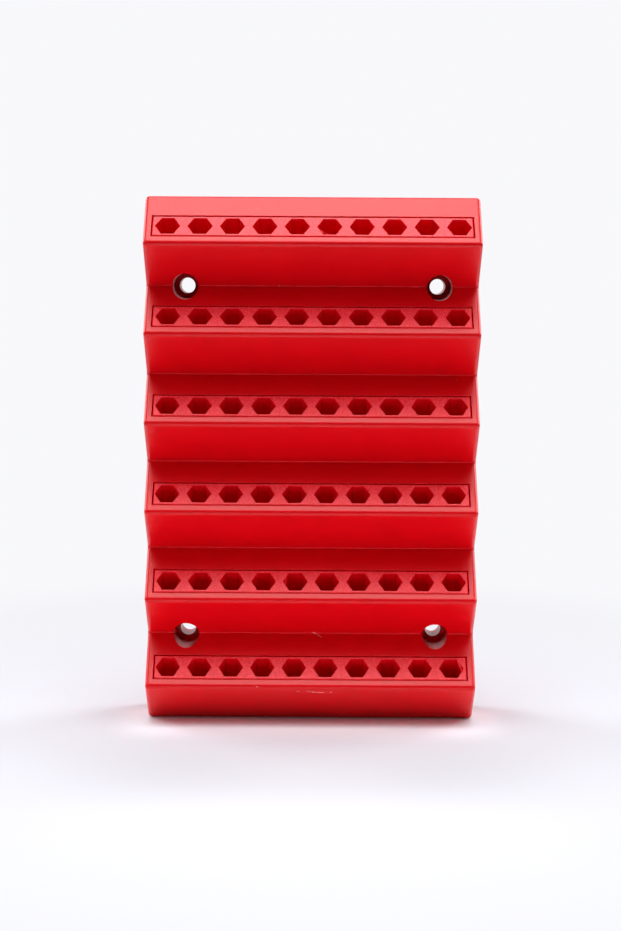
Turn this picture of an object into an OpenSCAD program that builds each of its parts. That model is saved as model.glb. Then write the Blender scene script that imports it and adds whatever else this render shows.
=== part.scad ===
// Stepped hex bit holder: a moulded body with one sloping ledge for each row of bits,
// and a drilled bit strip seated in a pocket of every ledge.
// Z is up, Y points to the back face, and the origin is at the centre of the base.

/* [Sockets] */
// Sockets in each bit strip
socket_count = 10; // [2:1:14]
// Distance from socket to socket
socket_pitch = 10; // [9.5:0.1:14]
// Socket width across its flats, for quarter inch bits
socket_flats = 6.7; // [6.4:0.05:7.3]
// Depth of each socket, square to the ledge
socket_depth = 12; // [6:0.5:14]

/* [Bit strips] */
// Width of a strip, down the slope of its ledge
strip_w = 8.55; // [8.3:0.05:11]
// Material left under the sockets
strip_floor = 2; // [1:0.1:4]
// Material between the last socket's corner and the end of the strip
strip_end = 0.7; // [0.7:0.05:8]
// Open gap between a strip and the walls of its pocket
strip_gap = 0.25; // [0.1:0.05:0.8]
// Chamfer round the top of a strip
strip_chamfer = 0.35; // [0.05:0.05:0.35]

/* [Body] */
// Number of ledges, with one bit strip each
rows = 6; // [3:1:8]
// Slope of the ledges below the horizontal
ledge_tilt = 45; // [40:1:50]
// Plain land from the inner corner down to the pocket
back_land = 8.5; // [7:0.05:16]
// Plain land from the pocket down to the front edge
front_land = 2.95; // [1.8:0.05:6]
// Plain land beside each end of the pocket
end_land = 2.55; // [2:0.05:12]
// Lean of each riser inwards from square to its ledge
riser_lean = 2.5; // [0:0.5:4]
// Thickness from the inner corners to the back face
back_t = 17.1; // [14:0.1:30]
// Draft on each side, narrower towards the front
side_draft = 0.7; // [0:0.1:2]
// Rounding of the outer edges
edge_r = 1.3; // [0.6:0.1:1.6]
// Fillet in the inner corners
corner_r = 0.35; // [0.1:0.05:1]

/* [Screw holes] */
// Distance from the left screw holes to the right ones
screw_span = 79.7; // [60:0.1:84]
// Diameter of the through holes
screw_d = 4.95; // [3.5:0.05:6]
// Diameter of the counterbores
head_d = 8.05; // [6.5:0.05:9]
// Depth of the counterbores behind the inner corner
head_depth = 8.7; // [4:0.1:12]
// Drop of the hole centres below the inner corner
screw_drop = 0.15; // [0:0.05:1]

/* [Hidden] */
socket_corners = socket_flats / cos(30);
strip_l = (socket_count - 1) * socket_pitch + socket_corners + 2 * strip_end;
strip_h = socket_depth + strip_floor;
// Hand drilled rows sit slightly off the middle of their strips, the same way in every sixth row
socket_shift = [0.2, 0.15, -0.1, -0.3, 0.1, -0.25];

pocket_l = strip_l + 2 * strip_gap;
pocket_w = strip_w + 2 * strip_gap;
strip_centre = back_land + pocket_w / 2;

ledge_l = back_land + pocket_w + front_land;
ledge_drop = ledge_l * sin(ledge_tilt);
step_depth = ledge_l * cos(ledge_tilt);
// A riser goes back to the next inner corner
riser_tilt = 90 - ledge_tilt - riser_lean;
step_pitch = ledge_drop + step_depth * tan(riser_tilt);
body_h = rows * step_pitch;
body_w = pocket_l + 2 * end_land;

// Directions that the ledges and the risers face, in the side view
ledge_normal = 90 + ledge_tilt;
riser_normal = 270 - riser_tilt;
// The rounded front edges reach slightly less far than sharp ones
front_reach = step_depth + edge_r * (1 + out_of_corner(ledge_normal, riser_normal)[0]);
corner_y = (front_reach - back_t) / 2;
screw_rows = [1, rows - 1];
facet_step = 15;
overcut = 1;

body_color = [0.80, 0.02, 0.07];
strip_color = [0.84, 0.10, 0.14];

// Direction of a face whose outward normal stands at an angle in the side view
function facing(angle) = [cos(angle), sin(angle)];

// Step from the centre of a rounding of radius 1 out to the sharp corner between two faces
function out_of_corner(before, after) = (facing(before) + facing(after)) / (1 + cos(after - before));

// Corners of the side view down the front, X measured back from the inner corners and Y the height:
// sharp point, normal of the face before, normal of the face after, and radius, negative in a hollow
front_corners = concat(
    [[[0, body_h], 90, ledge_normal, edge_r]],
    [
        for (row = [1:rows])
            let (top = body_h - (row - 1) * step_pitch)
                each concat(
                    row > 1 ? [[[0, top], riser_normal, ledge_normal, -corner_r]] : [],
                    [[[-step_depth, top - ledge_drop], ledge_normal, riser_normal, edge_r]]
                )
    ],
    [[[0, 0], riser_normal, 270, edge_r]]
);

// The small hollow fillets take half as many facets as the outer edges
function arc_angles(corner) =
    let (
        turn = corner[2] - corner[1],
        segments = ceil(abs(turn) / (corner[3] > 0 ? facet_step : 2 * facet_step))
    )
        [for (i = [0:segments]) corner[1] + turn * i / segments];

function arc_points(corner, inset) =
    let (centre = corner[0] - corner[3] * out_of_corner(corner[1], corner[2]))
        [for (angle = arc_angles(corner)) centre + (corner[3] - inset) * facing(angle)];

// Front of the side view, from the top down, pulled in by an inset
function front_outline(inset) = [for (corner = front_corners) each arc_points(corner, inset)];

front_size = len(front_outline(0));
outline_size = 2 * front_size;

// Closed side view: the front, then one point behind each of its points, where the flat back is cut
function side_outline(inset) =
    let (front = front_outline(inset))
        concat(front, [for (k = [front_size - 1:-1:0]) [back_t + edge_r, front[k][1]]]);

// On a side face an outer rounding closes to one point: this numbers that point for each front point
side_face_points = [
    for (c = [0:len(front_corners) - 1])
        let (
            corner = front_corners[c],
            sizes = [for (i = [0:1:c - 1]) len(arc_angles(front_corners[i]))],
            first = c == 0 ? 0 : sizes * [for (size = sizes) 1]
        )
            each [for (i = [0:len(arc_angles(corner)) - 1]) corner[3] > 0 ? first : first + i]
];

// Stepped block with every edge rounded but those of the back face.
// It is lofted across its width: the side view grows out of each side face along a quarter circle.
module rounded_block() {
    quarter = [for (a = [0:facet_step:90]) a];
    layers = concat(
        [for (a = quarter) [-1, a]],
        [for (i = [len(quarter) - 1:-1:0]) [1, quarter[i]]]
    );
    last = len(layers) - 1;
    points = [
        for (layer = layers)
            let (reach = edge_r * (1 - cos(layer[1])))
                for (p = side_outline(edge_r * (1 - sin(layer[1]))))
                    [layer[0] * (body_w / 2 + p[0] * tan(side_draft) - reach), p[0], p[1]]
    ];
    function merged(n) =
        n < front_size ? side_face_points[n] : outline_size - 1 - side_face_points[outline_size - 1 - n];
    function at(layer, k) =
        let (n = k % outline_size)
            layer * outline_size + (layer == 0 || layer == last ? merged(n) : n);
    // A face with four corners, or with three where two of them are the same point
    function face(a, b, c, d) = a == b ? [a, c, d] : c == d ? [a, b, c] : [a, b, c, d];
    bands = [
        for (j = [0:last - 1], k = [0:outline_size - 1])
            face(at(j + 1, k), at(j + 1, k + 1), at(j, k + 1), at(j, k))
    ];
    side_faces = [
        for (k = [0:front_size - 2], side = [0, last])
            let (a = at(side, k), b = at(side, k + 1))
                if (a != b)
                    let (c = at(side, outline_size - 2 - k), d = at(side, outline_size - 1 - k))
                        side == 0 ? [a, b, c, d] : [d, c, b, a]
    ];
    intersection() {
        polyhedron(points, concat(bands, side_faces), convexity = 2 * rows);
        translate([-body_w, -step_depth - overcut, -overcut])
            cube([2 * body_w, step_depth + overcut + back_t, body_h + 2 * overcut]);
    }
}

// Moves children to a ledge: Y runs up the slope from the inner corner, Z stands out of the ledge
module on_ledge(row) {
    translate([0, 0, body_h - (row - 1) * step_pitch])
        rotate([ledge_tilt, 0, 0])
            children();
}

module strip_pocket() {
    translate([-pocket_l / 2, -strip_centre - pocket_w / 2, -strip_h])
        cube([pocket_l, pocket_w, strip_h + overcut]);
}

// Counterbored hole along Y, its counterbore open towards the front
module screw_hole() {
    rotate([-90, 0, 0]) {
        translate([0, 0, -overcut])
            cylinder(d = screw_d, h = back_t + 2 * overcut, $fn = 48);
        translate([0, 0, -step_depth])
            cylinder(d = head_d, h = step_depth + head_depth, $fn = 64);
    }
}

module body() {
    color(body_color)
        translate([0, corner_y, 0])
            difference() {
                rounded_block();
                for (row = [1:rows])
                    on_ledge(row) strip_pocket();
                for (side = [-1, 1], row = screw_rows)
                    translate([side * screw_span / 2, 0, body_h - row * step_pitch - screw_drop])
                        screw_hole();
            }
}

// Section of a bar with its two top corners chamfered, top edge on the X axis
module chamfered_section(width) {
    half = width / 2;
    polygon([
        [-half, -strip_h],
        [half, -strip_h],
        [half, -strip_chamfer],
        [half - strip_chamfer, 0],
        [strip_chamfer - half, 0],
        [-half, -strip_chamfer]
    ]);
}

module strip_bar() {
    intersection() {
        rotate([90, 0, 90])
            linear_extrude(strip_l, center = true) chamfered_section(strip_w);
        rotate([90, 0, 0])
            linear_extrude(strip_w, center = true) chamfered_section(strip_l);
    }
}

module bit_strip(row) {
    shift = socket_shift[(row - 1) % len(socket_shift)];
    first_x = shift - (socket_count - 1) * socket_pitch / 2;
    color(strip_color)
        translate([0, corner_y, 0])
            on_ledge(row)
                translate([0, -strip_centre, 0])
                    difference() {
                        strip_bar();
                        for (i = [0:socket_count - 1])
                            translate([first_x + i * socket_pitch, 0, -socket_depth])
                                cylinder(d = socket_corners, h = socket_depth + overcut, $fn = 6);
                    }
}

body();
for (row = [1:rows])
    bit_strip(row);
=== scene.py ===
"""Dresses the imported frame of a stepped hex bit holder.

The moulded body and the drilled bit strips get their finish, their small marks of use and a plain
studio round them. All lengths are in metres, in the frame's own axes: Z is up, -Y is the front.
"""

from math import cos, pi, radians, sin

import bmesh
import bpy
from mathutils import Matrix, Vector


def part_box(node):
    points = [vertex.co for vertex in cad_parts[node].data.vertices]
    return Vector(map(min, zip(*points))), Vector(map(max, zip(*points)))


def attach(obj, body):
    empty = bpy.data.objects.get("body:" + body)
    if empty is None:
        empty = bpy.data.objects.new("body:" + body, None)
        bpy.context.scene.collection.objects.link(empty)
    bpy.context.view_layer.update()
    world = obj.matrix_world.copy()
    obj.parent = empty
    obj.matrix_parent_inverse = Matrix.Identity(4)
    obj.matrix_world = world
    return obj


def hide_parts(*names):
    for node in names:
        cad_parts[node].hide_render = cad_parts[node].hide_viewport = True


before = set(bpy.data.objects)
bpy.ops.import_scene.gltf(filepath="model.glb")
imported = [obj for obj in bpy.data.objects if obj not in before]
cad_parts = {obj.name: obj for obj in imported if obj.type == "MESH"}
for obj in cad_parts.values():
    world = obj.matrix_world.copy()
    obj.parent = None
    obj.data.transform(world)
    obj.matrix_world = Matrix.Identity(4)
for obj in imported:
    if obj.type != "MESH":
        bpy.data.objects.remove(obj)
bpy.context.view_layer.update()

bl_info = {
    "name": "Stepped Hex Bit Holder",
    "version": (1, 0, 0),
    "blender": (4, 5, 0),
    "location": "View3D > Sidebar > Bit Holder",
    "description": "Finishes a stepped hex bit holder and sets it in a plain studio",
    "category": "Object",
}

MM = 0.001
LEDGE_TILT = radians(45)
BODY_NODE = "body"
# Where the body's faces are cut across X: through the left screw holes, the middle and the right ones
BODY_CUTS = [-39.85 * MM, 0.0, 39.85 * MM]
STRIP_NODES = sorted(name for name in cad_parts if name.startswith("bit_strip_"))

# Rows whose sockets were drilled slightly off the middle of their strips
ROW_SHIFTS = [0.20 * MM, 0.15 * MM, -0.10 * MM, -0.30 * MM, 0.10 * MM, -0.25 * MM]
# Torn plastic left at three sockets: row, socket counted from the left, first and last side of the
# hexagon that it clings to, chips on it and their size
TORN_SOCKETS = {
    1: (6, 3.55, 4.30, 5, 0.26 * MM),
    5: (5, 2.45, 3.35, 9, 0.22 * MM),
    6: (10, -0.30, 0.95, 10, 0.42 * MM),
}

# Scratches and scuffs on the body: start, end and half width of each stroke, in millimetres
SCUFFS = [
    ((-4.1, -14.5, 11.8), (-3.5, -14.35, 11.7), 0.22),
    ((-1.0, -14.5, 11.85), (2.2, -14.0, 11.35), 0.14),
    ((0.8, -14.1, 11.4), (4.3, -13.9, 11.3), 0.26),
    ((6.5, -14.05, 11.4), (6.6, -14.05, 11.4), 0.36),
    ((-16.9, -15.6, 13.5), (-16.6, -15.6, 13.4), 0.24),
    ((-4.8, -15.2, 13.1), (-4.4, -15.2, 13.1), 0.22),
    ((0.6, -1.95, 28.2), (1.9, -1.75, 27.6), 0.22),
    ((1.9, -1.75, 27.6), (3.7, -2.8, 26.6), 0.12),
    ((-10.4, -1.8, 139.2), (-10.3, -1.7, 139.1), 0.22),
]

# Camera: sensor, image height and focal length in pixels, place, and angles down, left and round
SENSOR = 36.0
IMAGE_HEIGHT = 931
FOCAL_PIXELS = 1832.1
CAMERA_PLACE = Vector((-0.327, -580.21, 153.79)) * MM
CAMERA_PITCH = radians(7.060)
CAMERA_YAW = radians(-0.001)
CAMERA_ROLL = radians(0.34)

# Lamps: how narrow their light is, and for each pair the place of the right one and its aim
SOFTBOX_SPREAD = radians(80)
SOFTBOX_Y = -0.17
PAIR_SPREAD = radians(90)
PAIR_SIDE = 0.45
REAR_PLACE = (0.64, 0.34, 0.42)
REAR_AIM = (0.0, -0.06, 0.0)
FRONT_PLACE = (0.60, -0.45, 0.55)
FRONT_AIM = (0.0, 0.0, 0.08)


class Wire:
    """An output of a node. Arithmetic on it adds the Math node that works the sum out."""

    def __init__(self, graph, socket):
        self.graph = graph
        self.socket = socket

    def __add__(self, other):
        return self.graph.maths("ADD", self, other)

    __radd__ = __add__

    def __sub__(self, other):
        return self.graph.maths("SUBTRACT", self, other)

    def __rsub__(self, other):
        return self.graph.maths("SUBTRACT", other, self)

    def __mul__(self, other):
        return self.graph.maths("MULTIPLY", self, other)

    __rmul__ = __mul__

    def __truediv__(self, other):
        return self.graph.maths("DIVIDE", self, other)

    def __rtruediv__(self, other):
        return self.graph.maths("DIVIDE", other, self)


class Graph:
    """Adds nodes to one node tree."""

    def __init__(self, tree):
        self.tree = tree

    def feed(self, socket, value):
        if isinstance(value, (list, tuple)) and value and isinstance(value[0], Wire):
            # The last link of a many-input socket is read first
            for wire in value:
                self.tree.links.new(wire.socket, socket)
        elif isinstance(value, Wire):
            self.tree.links.new(value.socket, socket)
        else:
            socket.default_value = value

    def node(self, kind, settings=None, inputs=None, output=0):
        made = self.tree.nodes.new(kind)
        for name, value in (settings or {}).items():
            setattr(made, name, value)
        for key, value in (inputs or {}).items():
            self.feed(made.inputs[key], value)
        return Wire(self, made.outputs[output])

    def maths(self, operation, *operands):
        return self.node("ShaderNodeMath", {"operation": operation}, dict(enumerate(operands)))

    def vector_maths(self, operation, *operands, output="Vector"):
        settings = {"operation": operation}
        return self.node("ShaderNodeVectorMath", settings, dict(enumerate(operands)), output)

    def rise(self, value, low, high):
        """From 0 at low to 1 at high, along a smooth step. High may be the lesser of the two."""
        settings = {"interpolation_type": "SMOOTHSTEP"}
        inputs = {"Value": value, "From Min": low, "From Max": high}
        return self.node("ShaderNodeMapRange", settings, inputs)

    def noise(self, place, scale, detail=2.0):
        """Smooth noise round 0.5, with about scale features to the metre."""
        inputs = {"Vector": place, "Scale": scale, "Detail": detail}
        return self.node("ShaderNodeTexNoise", {"noise_dimensions": "3D"}, inputs)

    def mix(self, factor, first, second):
        """Two colours mixed."""
        inputs = {0: factor, 6: first, 7: second}
        return self.node("ShaderNodeMix", {"data_type": "RGBA"}, inputs, 2)

    def scaled(self, vector, factor):
        """A vector or colour times a number."""
        return self.node("ShaderNodeVectorMath", {"operation": "SCALE"}, {0: vector, "Scale": factor})

    def stroke(self, place, start, end, half_width):
        """1 on the line from start to end, falling to 0 at half_width from it."""
        line = Vector(end) - Vector(start)
        offset = self.vector_maths("SUBTRACT", place, tuple(start))
        along = self.vector_maths("DOT_PRODUCT", offset, tuple(line), output="Value")
        along = self.node("ShaderNodeClamp", {}, {"Value": along / line.length_squared})
        nearest = self.scaled(tuple(line), along)
        gap = self.vector_maths("DISTANCE", offset, nearest, output="Value")
        return self.rise(gap, half_width, half_width * 0.35)


def new_material(name, constants):
    """A material with one Principled shader: its graph and that shader."""
    material = bpy.data.materials.new(name)
    material.use_nodes = True
    shader = material.node_tree.nodes["Principled BSDF"]
    for socket, value in constants.items():
        shader.inputs[socket].default_value = value
    return material, Graph(material.node_tree), shader


def moulded_plastic(finish):
    """Satin moulded plastic: faint flow lines across its width, a few specks, and the scuffs."""
    material, graph, shader = new_material("moulded_plastic", {"IOR": finish.refraction})
    place = graph.node("ShaderNodeTexCoord", output="Object")
    stretched = graph.vector_maths("MULTIPLY", place, (0.04, 1.0, 1.0))
    flow = graph.noise(stretched, 700.0, 3.0)
    cloud = graph.noise(place, 90.0)
    peel = graph.noise(place, 1400.0)
    specks = graph.node("ShaderNodeTexVoronoi", {"feature": "F1"}, {"Vector": place, "Scale": 170.0})
    specks = graph.rise(specks, 0.030, 0.016)

    worn = None
    for start, end, half_width in SCUFFS:
        ends = [Vector(point) * MM for point in (start, end)]
        stroke = graph.stroke(place, *ends, half_width * MM)
        worn = stroke if worn is None else graph.maths("MAXIMUM", worn, stroke)
    broken = graph.rise(graph.noise(place, 1700.0), 0.34, 0.50)
    worn = worn * broken

    shade = 0.90 + 0.14 * cloud + 0.06 * flow
    colour = graph.scaled(tuple(finish.colour[:3]), shade)
    colour = graph.mix(specks * 0.35, colour, tuple(finish.scuff_colour))
    colour = graph.mix(worn, colour, tuple(finish.scuff_colour))
    graph.feed(shader.inputs["Base Color"], colour)
    rough = finish.roughness - 0.04 + 0.05 * cloud + 0.04 * flow + 0.25 * worn
    graph.feed(shader.inputs["Roughness"], rough)
    height = peel * 0.5 + flow * 0.8 + worn * 6.0
    normal = graph.node("ShaderNodeBump", {}, {"Strength": 1.0, "Distance": 2.0e-6, "Height": height})
    graph.feed(shader.inputs["Normal"], normal)
    return material


def drilled_plastic(finish):
    """Matte plastic with a fine speckle on its top face, where the sockets inside stay smooth."""
    material, graph, shader = new_material("drilled_plastic", {"IOR": finish.refraction})
    place = graph.node("ShaderNodeTexCoord", output="Object")
    speckle = graph.noise(place, 2100.0, 3.0)
    grain = graph.noise(place, 5200.0)
    cloud = graph.noise(place, 120.0)
    facing = graph.node("ShaderNodeNewGeometry", output="Normal")
    ledge_normal = (0.0, -sin(LEDGE_TILT), cos(LEDGE_TILT))
    top = graph.vector_maths("DOT_PRODUCT", facing, ledge_normal, output="Value")
    top = graph.rise(top, 0.80, 0.95)
    shade = 0.94 + 0.10 * cloud + top * (0.80 * speckle + 0.20 * grain - 0.50)
    colour = graph.scaled(tuple(finish.colour[:3]), shade)
    colour = graph.mix(top * graph.rise(speckle, 0.45, 0.70), colour, tuple(finish.speck_colour))
    graph.feed(shader.inputs["Base Color"], colour)
    rough = finish.roughness + top * (0.20 * speckle - 0.10)
    graph.feed(shader.inputs["Roughness"], rough)
    height = top * (speckle + grain * 0.6)
    normal = graph.node("ShaderNodeBump", {}, {"Strength": 1.0, "Distance": 3.5e-5, "Height": height})
    graph.feed(shader.inputs["Normal"], normal)
    return material


def add_piece(name, mesh, node):
    """Shows a mesh in place of a CAD node."""
    piece = bpy.data.objects.new(name, mesh)
    bpy.context.scene.collection.objects.link(piece)
    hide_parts(node)
    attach(piece, "root")
    return piece


def evaluated_mesh(owner, name):
    """The mesh that an object's modifiers make."""
    depsgraph = bpy.context.evaluated_depsgraph_get()
    mesh = bpy.data.meshes.new_from_object(
        owner.evaluated_get(depsgraph), preserve_all_data_layers=True, depsgraph=depsgraph
    )
    mesh.name = name
    return mesh


def merged_mesh(node, name, cuts):
    """A copy of a CAD node's mesh with its loose triangles joined into whole faces.

    Cuts across X, through the pockets and the screw holes, leave no face with a hole in it.
    """
    shape = bmesh.new()
    shape.from_mesh(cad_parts[node].data)
    bmesh.ops.remove_doubles(shape, verts=shape.verts, dist=0.002 * MM)
    for x in cuts:
        everything = shape.verts[:] + shape.edges[:] + shape.faces[:]
        made = bmesh.ops.bisect_plane(
            shape, geom=everything, dist=0.002 * MM, plane_co=(x, 0.0, 0.0), plane_no=(1.0, 0.0, 0.0)
        )
        for item in made["geom_cut"]:
            if isinstance(item, bmesh.types.BMEdge):
                item.seam = True
    bmesh.ops.dissolve_limit(
        shape, angle_limit=radians(0.2), verts=shape.verts, edges=shape.edges, delimit={"SEAM"}
    )
    mesh = bpy.data.meshes.new(name)
    shape.to_mesh(mesh)
    shape.free()
    if "custom_normal" in mesh.attributes:
        mesh.attributes.remove(mesh.attributes["custom_normal"])
    mesh.shade_smooth()
    mesh.set_sharp_from_angle(angle=radians(40))
    return mesh


def strip_tree():
    """Geometry Nodes: a chamfered bar with a row of hexagonal sockets and some torn chips."""
    tree = bpy.data.node_groups.new("Drilled strip", "GeometryNodeTree")
    lengths = ["Length", "Width", "Height", "Chamfer", "Pitch", "Shift", "Across Corners", "Depth", "Rim"]
    for name in lengths + ["Chip Size"]:
        tree.interface.new_socket(name, in_out="INPUT", socket_type="NodeSocketFloat")
    for name in ("Sockets", "Chips", "Seed"):
        tree.interface.new_socket(name, in_out="INPUT", socket_type="NodeSocketInt")
    for name in ("Torn From", "Torn To"):
        tree.interface.new_socket(name, in_out="INPUT", socket_type="NodeSocketVector")
    tree.interface.new_socket("Material", in_out="INPUT", socket_type="NodeSocketMaterial")
    tree.interface.new_socket("Geometry", in_out="OUTPUT", socket_type="NodeSocketGeometry")

    graph = Graph(tree)
    inputs = tree.nodes.new("NodeGroupInput")
    given = {socket.name: Wire(graph, socket) for socket in inputs.outputs if socket.name}

    def point(x, y, z):
        return graph.node("ShaderNodeCombineXYZ", {}, {"X": x, "Y": y, "Z": z})

    def moved(geometry, offset):
        return graph.node("GeometryNodeTransform", {}, {"Geometry": geometry, "Translation": offset})

    def joined(*parts):
        return graph.node("GeometryNodeJoinGeometry", {}, {"Geometry": list(parts)})

    def block(length, width, height):
        return graph.node("GeometryNodeMeshCube", {}, {"Size": point(length, width, height)})

    # The bar: a full block up to the chamfer and a smaller one to the top, in one hull
    chamfer = given["Chamfer"]
    low_height = given["Height"] - chamfer
    low = block(given["Length"], given["Width"], low_height)
    low = moved(low, point(0.0, 0.0, 0.0 - low_height / 2 - chamfer))
    top = block(given["Length"] - 2 * chamfer, given["Width"] - 2 * chamfer, given["Height"])
    top = moved(top, point(0.0, 0.0, 0.0 - given["Height"] / 2))
    bar = graph.node("GeometryNodeConvexHull", {}, {"Geometry": joined(low, top)})

    # The cutter for one socket: a hexagonal prism, and a flare that eases its rim
    radius = given["Across Corners"] / 2
    overcut = 1.0 * MM
    prism = graph.node(
        "GeometryNodeMeshCone",
        {},
        {"Vertices": 6, "Radius Top": radius, "Radius Bottom": radius, "Depth": given["Depth"] + overcut},
    )
    prism = moved(prism, point(0.0, 0.0, 0.0 - given["Depth"]))
    rim = given["Rim"]
    flare = graph.node(
        "GeometryNodeMeshCone",
        {},
        {"Vertices": 6, "Radius Top": radius + overcut, "Radius Bottom": radius, "Depth": rim + overcut},
    )
    flare = moved(flare, point(0.0, 0.0, 0.0 - rim))

    def row_of(cutter):
        first = point(given["Shift"] - given["Pitch"] * (given["Sockets"] - 1) / 2, 0.0, 0.0)
        line = graph.node(
            "GeometryNodeMeshLine",
            {"mode": "OFFSET"},
            {"Count": given["Sockets"], "Start Location": first, "Offset": point(given["Pitch"], 0.0, 0.0)},
        )
        copies = graph.node("GeometryNodeInstanceOnPoints", {}, {"Points": line, "Instance": cutter})
        return graph.node("GeometryNodeRealizeInstances", {}, {"Geometry": copies})

    def less(solid, cutters):
        settings = {"operation": "DIFFERENCE", "solver": "EXACT"}
        return graph.node("GeometryNodeMeshBoolean", settings, {"Mesh 1": solid, "Mesh 2": [cutters]})

    drilled = less(less(bar, row_of(prism)), row_of(flare))
    # Slivers left where the two cutters meet close up
    drilled = graph.node("GeometryNodeMergeByDistance", {}, {"Geometry": drilled, "Distance": 0.01 * MM})

    # Torn chips: small lumps of uneven size along the damaged sides of one socket
    chip_line = graph.node(
        "GeometryNodeMeshLine",
        {"mode": "END_POINTS"},
        {"Count": given["Chips"], "Start Location": given["Torn From"], "Offset": given["Torn To"]},
    )
    size = graph.node(
        "FunctionNodeRandomValue",
        {"data_type": "FLOAT_VECTOR"},
        {0: (0.5, 0.5, 0.4), 1: (1.6, 1.3, 0.9), "Seed": given["Seed"]},
    )
    turn = graph.node(
        "FunctionNodeRandomValue",
        {"data_type": "FLOAT_VECTOR"},
        {0: (0.0, 0.0, 0.0), 1: (pi, pi, pi), "Seed": given["Seed"] + 1},
    )
    lump = graph.node("GeometryNodeMeshIcoSphere", {}, {"Radius": given["Chip Size"], "Subdivisions": 2})
    chips = graph.node(
        "GeometryNodeInstanceOnPoints",
        {},
        {"Points": chip_line, "Instance": lump, "Rotation": turn, "Scale": size},
    )
    whole = graph.node("GeometryNodeRealizeInstances", {}, {"Geometry": joined(drilled, chips)})
    whole = graph.node("GeometryNodeSetMaterial", {}, {"Geometry": whole, "Material": given["Material"]})
    outputs = tree.nodes.new("NodeGroupOutput")
    graph.feed(outputs.inputs["Geometry"], whole)
    return tree


def strip_seat(node, sizes):
    """Places a strip made with its top face on the XY plane where a CAD strip sits."""
    low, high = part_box(node)
    reach = (sizes.width / 2 + sizes.height) * cos(LEDGE_TILT)
    return Matrix.Translation((0.0, high.y - reach, low.z + reach)) @ Matrix.Rotation(LEDGE_TILT, 4, "X")


def hexagon_point(centre_x, radius, side):
    """A point round a hexagon: whole numbers are its corners, counted from the right one."""
    corner = int(side // 1)
    part = side - corner
    a, b = (Vector((cos(radians(60 * n)), sin(radians(60 * n)), 0.0)) for n in (corner, corner + 1))
    return Vector((centre_x, 0.0, 0.0)) + radius * (a + part * (b - a))


class MouldedFinish(bpy.types.PropertyGroup):
    """Look of the moulded body."""

    colour: bpy.props.FloatVectorProperty(
        name="Colour", description="Red of the moulded plastic", subtype="COLOR", size=4,
        min=0.0, max=1.0, default=(0.74, 0.0005, 0.005, 1.0),
    )
    scuff_colour: bpy.props.FloatVectorProperty(
        name="Scuff Colour", description="Pale red of scratches and scuffs", subtype="COLOR", size=4,
        min=0.0, max=1.0, default=(0.95, 0.52, 0.52, 1.0),
    )
    roughness: bpy.props.FloatProperty(
        name="Roughness", description="Roughness of the satin skin", subtype="FACTOR",
        min=0.0, max=1.0, default=0.30,
    )
    refraction: bpy.props.FloatProperty(
        name="Refraction", description="Index of refraction of the plastic", min=1.0, max=2.0, default=1.36,
    )
    edge: bpy.props.FloatProperty(
        name="Edge", description="Width of the broken edges round pockets and holes", subtype="DISTANCE",
        unit="LENGTH", min=0.0, max=0.5 * MM, default=0.12 * MM,
    )


class StripFinish(bpy.types.PropertyGroup):
    """Look of the drilled bit strips."""

    colour: bpy.props.FloatVectorProperty(
        name="Colour", description="Red of the drilled strips", subtype="COLOR", size=4,
        min=0.0, max=1.0, default=(0.92, 0.002, 0.013, 1.0),
    )
    speck_colour: bpy.props.FloatVectorProperty(
        name="Speck Colour", description="Paler red of the fine speckle", subtype="COLOR", size=4,
        min=0.0, max=1.0, default=(0.95, 0.048, 0.085, 1.0),
    )
    roughness: bpy.props.FloatProperty(
        name="Roughness", description="Roughness of the matte strips", subtype="FACTOR",
        min=0.0, max=1.0, default=0.40,
    )
    refraction: bpy.props.FloatProperty(
        name="Refraction", description="Index of refraction of the plastic", min=1.0, max=2.0, default=1.40,
    )


class StripSizes(bpy.types.PropertyGroup):
    """Sizes of one bit strip."""

    sockets: bpy.props.IntProperty(
        name="Sockets", description="Sockets in each strip", min=2, max=14, default=10,
    )
    pitch: bpy.props.FloatProperty(
        name="Pitch", description="Distance from socket to socket", subtype="DISTANCE", unit="LENGTH",
        default=10.0 * MM,
    )
    flats: bpy.props.FloatProperty(
        name="Across Flats", description="Width of a socket across its flats", subtype="DISTANCE",
        unit="LENGTH", default=6.7 * MM,
    )
    depth: bpy.props.FloatProperty(
        name="Depth", description="Depth of a socket", subtype="DISTANCE", unit="LENGTH", default=12.0 * MM,
    )
    width: bpy.props.FloatProperty(
        name="Width", description="Width of a strip down its ledge", subtype="DISTANCE", unit="LENGTH",
        default=8.55 * MM,
    )
    height: bpy.props.FloatProperty(
        name="Height", description="Height of a strip, square to its ledge", subtype="DISTANCE",
        unit="LENGTH", default=14.0 * MM,
    )
    chamfer: bpy.props.FloatProperty(
        name="Chamfer", description="Chamfer round the top of a strip", subtype="DISTANCE", unit="LENGTH",
        default=0.35 * MM,
    )
    rim: bpy.props.FloatProperty(
        name="Rim", description="Eased rim of each socket", subtype="DISTANCE", unit="LENGTH",
        default=0.10 * MM,
    )


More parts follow.
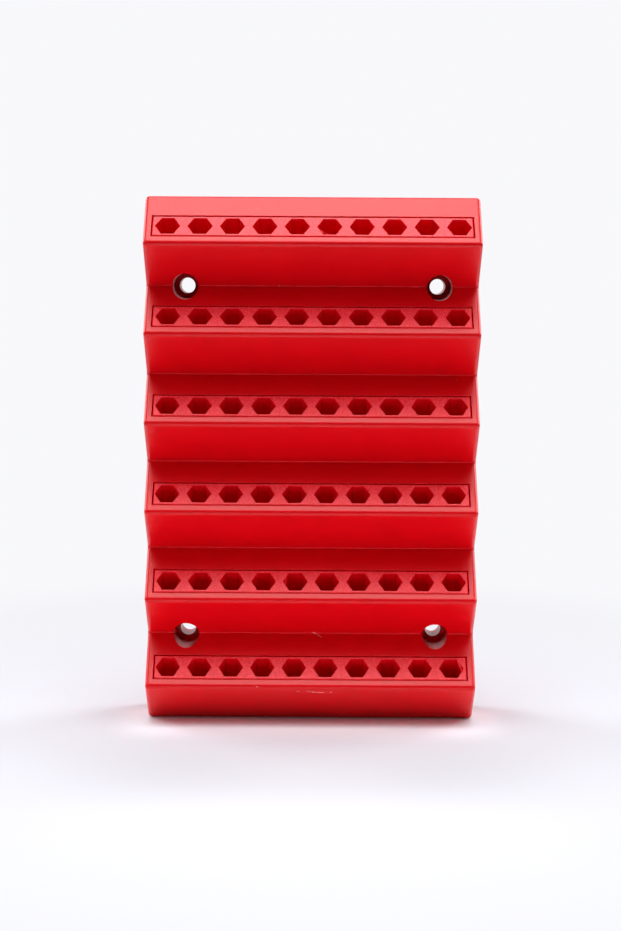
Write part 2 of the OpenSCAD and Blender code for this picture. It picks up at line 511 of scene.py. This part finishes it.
class StageSettings(bpy.types.PropertyGroup):
    """Studio round the holder."""

    floor_colour: bpy.props.FloatVectorProperty(
        name="Floor Colour", description="Colour of the paper that lights the holder from below",
        subtype="COLOR", size=4, min=0.0, max=1.0, default=(0.90, 0.90, 0.93, 1.0),
    )
    seen_colour: bpy.props.FloatVectorProperty(
        name="Seen Colour", description="Colour of the paper round the holder, as the camera sees it",
        subtype="COLOR", size=4, min=0.0, max=1.0, default=(0.62, 0.635, 0.685, 1.0),
    )
    backdrop_colour: bpy.props.FloatVectorProperty(
        name="Backdrop Colour", description="Colour of the paper away from the holder, as the camera sees it",
        subtype="COLOR", size=4, min=0.0, max=1.0, default=(0.94, 0.94, 0.965, 1.0),
    )
    softbox_side: bpy.props.FloatProperty(
        name="Softbox Side", description="Side of the square softbox overhead", subtype="DISTANCE",
        unit="LENGTH", default=0.74,
    )
    softbox_height: bpy.props.FloatProperty(
        name="Softbox Height", description="Height of the softbox over the floor", subtype="DISTANCE",
        unit="LENGTH", default=0.82,
    )
    softbox_power: bpy.props.FloatProperty(
        name="Softbox Power", description="Power of the softbox", unit="POWER", min=0.0, default=2.5,
    )
    rear_power: bpy.props.FloatProperty(
        name="Rear Power", description="Power of each lamp behind", unit="POWER", min=0.0, default=0.9,
    )
    front_power: bpy.props.FloatProperty(
        name="Front Power", description="Power of each lamp in front", unit="POWER", min=0.0, default=0.24,
    )
    fill: bpy.props.FloatProperty(
        name="Fill", description="Strength of the surroundings", min=0.0, default=0.02,
    )


class BitHolderSettings(bpy.types.PropertyGroup):
    """Everything that can be changed on the holder."""

    moulded: bpy.props.PointerProperty(type=MouldedFinish)
    strip: bpy.props.PointerProperty(type=StripFinish)
    strip_sizes: bpy.props.PointerProperty(type=StripSizes)
    stage: bpy.props.PointerProperty(type=StageSettings)


class BITHOLDER_OT_finish_body(bpy.types.Operator):
    """Smooth the moulded body, break its sharp edges and give it its satin finish"""

    bl_idname = "bit_holder.finish_body"
    bl_label = "Finish Body"

    def execute(self, context):
        finish = context.scene.bit_holder.moulded
        rough = bpy.data.objects.new("rough_body", merged_mesh(BODY_NODE, "rough_body", BODY_CUTS))
        context.scene.collection.objects.link(rough)
        bevel = rough.modifiers.new("Broken edges", "BEVEL")
        bevel.width = finish.edge
        bevel.segments = 2
        bevel.limit_method = "ANGLE"
        bevel.angle_limit = radians(40)
        bevel.miter_outer = "MITER_ARC"
        weighted = rough.modifiers.new("Flat faces", "WEIGHTED_NORMAL")
        weighted.keep_sharp = True
        mesh = evaluated_mesh(rough, "moulded_body")
        bpy.data.objects.remove(rough)
        mesh.materials.clear()
        mesh.materials.append(moulded_plastic(finish))
        add_piece("moulded_body", mesh, BODY_NODE)
        return {"FINISHED"}


class BITHOLDER_OT_drill_strips(bpy.types.Operator):
    """Make the drilled bit strips and seat them in their pockets"""

    bl_idname = "bit_holder.drill_strips"
    bl_label = "Drill Strips"

    def execute(self, context):
        settings = context.scene.bit_holder
        sizes = settings.strip_sizes
        material = drilled_plastic(settings.strip)
        tree = strip_tree()
        names = {
            item.name: item.identifier
            for item in tree.interface.items_tree
            if item.item_type == "SOCKET" and item.in_out == "INPUT"
        }
        for row, node in enumerate(STRIP_NODES, start=1):
            low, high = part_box(node)
            shift = ROW_SHIFTS[(row - 1) % len(ROW_SHIFTS)]
            corners = sizes.flats / cos(radians(30))
            values = {
                "Length": high.x - low.x,
                "Width": sizes.width,
                "Height": sizes.height,
                "Chamfer": sizes.chamfer,
                "Pitch": sizes.pitch,
                "Shift": shift,
                "Across Corners": corners,
                "Depth": sizes.depth,
                "Rim": sizes.rim,
                "Sockets": sizes.sockets,
                "Chips": 0,
                "Seed": row,
                "Material": material,
            }
            if row in TORN_SOCKETS:
                socket, first, last, chips, chip_size = TORN_SOCKETS[row]
                centre_x = shift + (socket - (sizes.sockets + 1) / 2) * sizes.pitch
                ends = [hexagon_point(centre_x, corners / 2, side) for side in (first, last)]
                values.update({"Torn From": ends[0], "Torn To": ends[1]})
                values.update({"Chips": chips, "Chip Size": chip_size})
            blank = bpy.data.objects.new("blank", bpy.data.meshes.new("blank"))
            context.scene.collection.objects.link(blank)
            modifier = blank.modifiers.new("Drilled strip", "NODES")
            modifier.node_group = tree
            for name, value in values.items():
                modifier[names[name]] = value
            mesh = evaluated_mesh(blank, f"drilled_strip_{row}")
            bpy.data.objects.remove(blank)
            if not mesh.polygons:
                raise RuntimeError(f"strip {row} came out empty")
            mesh.materials.clear()
            mesh.materials.append(material)
            mesh.polygons.foreach_set("material_index", [0] * len(mesh.polygons))
            mesh.transform(strip_seat(node, sizes))
            add_piece(f"drilled_strip_{row}", mesh, node)
        return {"FINISHED"}


class BITHOLDER_OT_set_stage(bpy.types.Operator):
    """Set the floor, the backdrop, the lights and the camera"""

    bl_idname = "bit_holder.set_stage"
    bl_label = "Set Stage"

    def execute(self, context):
        stage = context.scene.bit_holder.stage
        scene = context.scene
        scene.view_settings.view_transform = "Standard"
        self.add_floor(scene, stage)
        self.add_lights(scene, stage)
        self.add_camera(scene)
        return {"FINISHED"}

    def add_floor(self, scene, stage):
        """A round sheet of paper that bends up all round, high behind the holder and low in front."""
        flat, bend = 2.2, 0.6
        sides, steps = 72, 16
        sheet = bmesh.new()
        rings = []
        for step in range(steps + 2):
            turn = pi / 2 * min(step, steps) / steps
            ring = []
            for side in range(sides):
                angle = 2 * pi * side / sides
                behind = 0.5 + 0.5 * sin(angle)
                wall = 0.18 + 2.0 * behind ** 2
                reach = flat + bend * sin(turn)
                height = min(bend, wall) * (1 - cos(turn)) + (wall if step > steps else 0.0)
                ring.append(sheet.verts.new((reach * cos(angle), reach * sin(angle), height)))
            rings.append(ring)
        sheet.faces.new(rings[0])
        for low, high in zip(rings, rings[1:]):
            for corners in zip(low, high, high[1:] + high[:1], low[1:] + low[:1]):
                sheet.faces.new(corners)
        mesh = bpy.data.meshes.new("floor")
        sheet.to_mesh(mesh)
        sheet.free()
        mesh.shade_smooth()
        mesh.materials.append(self.pale_paper(stage))
        floor = bpy.data.objects.new("floor", mesh)
        scene.collection.objects.link(floor)

    def pale_paper(self, stage):
        """Matte paper, which the camera sees at the backdrop's own colour away from the holder."""
        material, graph, shader = new_material("pale_paper", {"Roughness": 0.9, "Specular IOR Level": 0.0})
        place = graph.node("ShaderNodeTexCoord", output="Object")
        away = graph.rise(graph.vector_maths("LENGTH", place, output="Value"), 0.06, 0.26)
        x = graph.node("ShaderNodeSeparateXYZ", {}, {0: place}, "X")
        y = graph.node("ShaderNodeSeparateXYZ", {}, {0: place}, "Y")
        beside = graph.maths("ABSOLUTE", x)
        seen = graph.node("ShaderNodeLightPath", output="Is Camera Ray")
        mirrored = graph.node("ShaderNodeLightPath", output="Is Glossy Ray")
        shown = graph.maths("MAXIMUM", seen, mirrored * graph.rise(y, 0.0, 0.30))
        # Painted light: under the bottom riser the paper is paler, which lifts the contact shadow there;
        # painted shade: a little further in front it is darker
        painted_light_under = graph.rise(y, -0.034, -0.010) * graph.rise(y, 0.014, 0.002)
        painted_light_under = painted_light_under * graph.rise(beside, 0.066, 0.046)
        # Painted shade: a darker band of paper a little in front of the holder
        before = graph.rise(y, -0.014, -0.062) * graph.rise(y, -0.110, -0.066)
        before = before * graph.rise(beside, 0.100, 0.030)
        shade = 1.04 + 0.36 * painted_light_under - 0.18 * before
        # The paper's colour as the camera sees it, with the painted light and painted shade above
        near_paper_painted_light_and_shade = graph.scaled(tuple(stage.seen_colour[:3]), shade)
        colour = graph.mix(seen, tuple(stage.floor_colour), near_paper_painted_light_and_shade)
        graph.feed(shader.inputs["Base Color"], colour)
        glow = graph.node("ShaderNodeEmission", {}, {"Color": tuple(stage.backdrop_colour), "Strength": 1.0})
        paper = Wire(graph, shader.outputs[0])
        mixed = graph.node("ShaderNodeMixShader", {}, {0: shown * away, 1: paper, 2: glow})
        graph.feed(material.node_tree.nodes["Material Output"].inputs["Surface"], mixed)
        return material

    def add_lamp(self, scene, name, side, spread, power, place, aim):
        """A square soft lamp at a place, turned to shine at a point."""
        light = bpy.data.lights.new(name, "AREA")
        light.shape = "SQUARE"
        light.size = side
        light.spread = spread
        light.energy = power
        lamp = bpy.data.objects.new(name, light)
        lamp.matrix_world = Matrix.LocRotScale(
            Vector(place), (Vector(aim) - Vector(place)).to_track_quat("-Z", "Y"), None
        )
        scene.collection.objects.link(lamp)

    def add_lights(self, scene, stage):
        """A softbox overhead, a pair of lamps behind that brighten the paper, and a weak pair in front."""
        above = (0.0, SOFTBOX_Y, stage.softbox_height)
        below = (0.0, SOFTBOX_Y, 0.0)
        softbox = (stage.softbox_side, SOFTBOX_SPREAD, stage.softbox_power)
        self.add_lamp(scene, "softbox", *softbox, above, below)
        pairs = (
            ("rear", stage.rear_power, REAR_PLACE, REAR_AIM),
            ("front", stage.front_power, FRONT_PLACE, FRONT_AIM),
        )
        for side, x_sign in (("left", -1), ("right", 1)):
            for name, power, (x, y, z), aim in pairs:
                place = (x_sign * x, y, z)
                self.add_lamp(scene, f"{name}_{side}", PAIR_SIDE, PAIR_SPREAD, power, place, aim)
        world = bpy.data.worlds.new("surroundings")
        world.use_nodes = True
        graph = Graph(world.node_tree)
        seen = graph.node("ShaderNodeLightPath", output="Is Camera Ray")
        fill = (stage.fill, stage.fill, stage.fill, 1.0)
        colour = graph.mix(seen, fill, tuple(stage.backdrop_colour))
        graph.feed(world.node_tree.nodes["Background"].inputs["Color"], colour)
        scene.world = world

    def add_camera(self, scene):
        data = bpy.data.cameras.new("camera")
        data.sensor_width = SENSOR
        data.lens = FOCAL_PIXELS * SENSOR / IMAGE_HEIGHT
        data.clip_start = 0.01
        camera = bpy.data.objects.new("camera", data)
        camera.matrix_world = (
            Matrix.Translation(CAMERA_PLACE)
            @ Matrix.Rotation(CAMERA_YAW, 4, "Z")
            @ Matrix.Rotation(pi / 2 - CAMERA_PITCH, 4, "X")
            @ Matrix.Rotation(CAMERA_ROLL, 4, "Z")
        )
        scene.collection.objects.link(camera)
        scene.camera = camera


class BITHOLDER_PT_panel(bpy.types.Panel):
    """Sizes, colours and steps of the bit holder"""

    bl_idname = "BITHOLDER_PT_panel"
    bl_label = "Bit Holder"
    bl_space_type = "VIEW_3D"
    bl_region_type = "UI"
    bl_category = "Bit Holder"

    def draw(self, context):
        settings = context.scene.bit_holder
        for title, group in (
            ("Body", settings.moulded),
            ("Strips", settings.strip),
            ("Strip Sizes", settings.strip_sizes),
            ("Stage", settings.stage),
        ):
            box = self.layout.box()
            box.label(text=title)
            for name in group.__annotations__:
                box.prop(group, name)
        for operator in STEPS:
            self.layout.operator(operator)


CLASSES = (
    MouldedFinish,
    StripFinish,
    StripSizes,
    StageSettings,
    BitHolderSettings,
    BITHOLDER_OT_finish_body,
    BITHOLDER_OT_drill_strips,
    BITHOLDER_OT_set_stage,
    BITHOLDER_PT_panel,
)
STEPS = ("bit_holder.set_stage", "bit_holder.finish_body", "bit_holder.drill_strips")


def register():
    for each in CLASSES:
        bpy.utils.register_class(each)
    bpy.types.Scene.bit_holder = bpy.props.PointerProperty(type=BitHolderSettings)


def unregister():
    del bpy.types.Scene.bit_holder
    for each in reversed(CLASSES):
        bpy.utils.unregister_class(each)


def main():
    """Makes the whole scene."""
    register()
    bpy.ops.bit_holder.set_stage()
    bpy.ops.bit_holder.finish_body()
    bpy.ops.bit_holder.drill_strips()


if __name__ == "__main__":
    main()
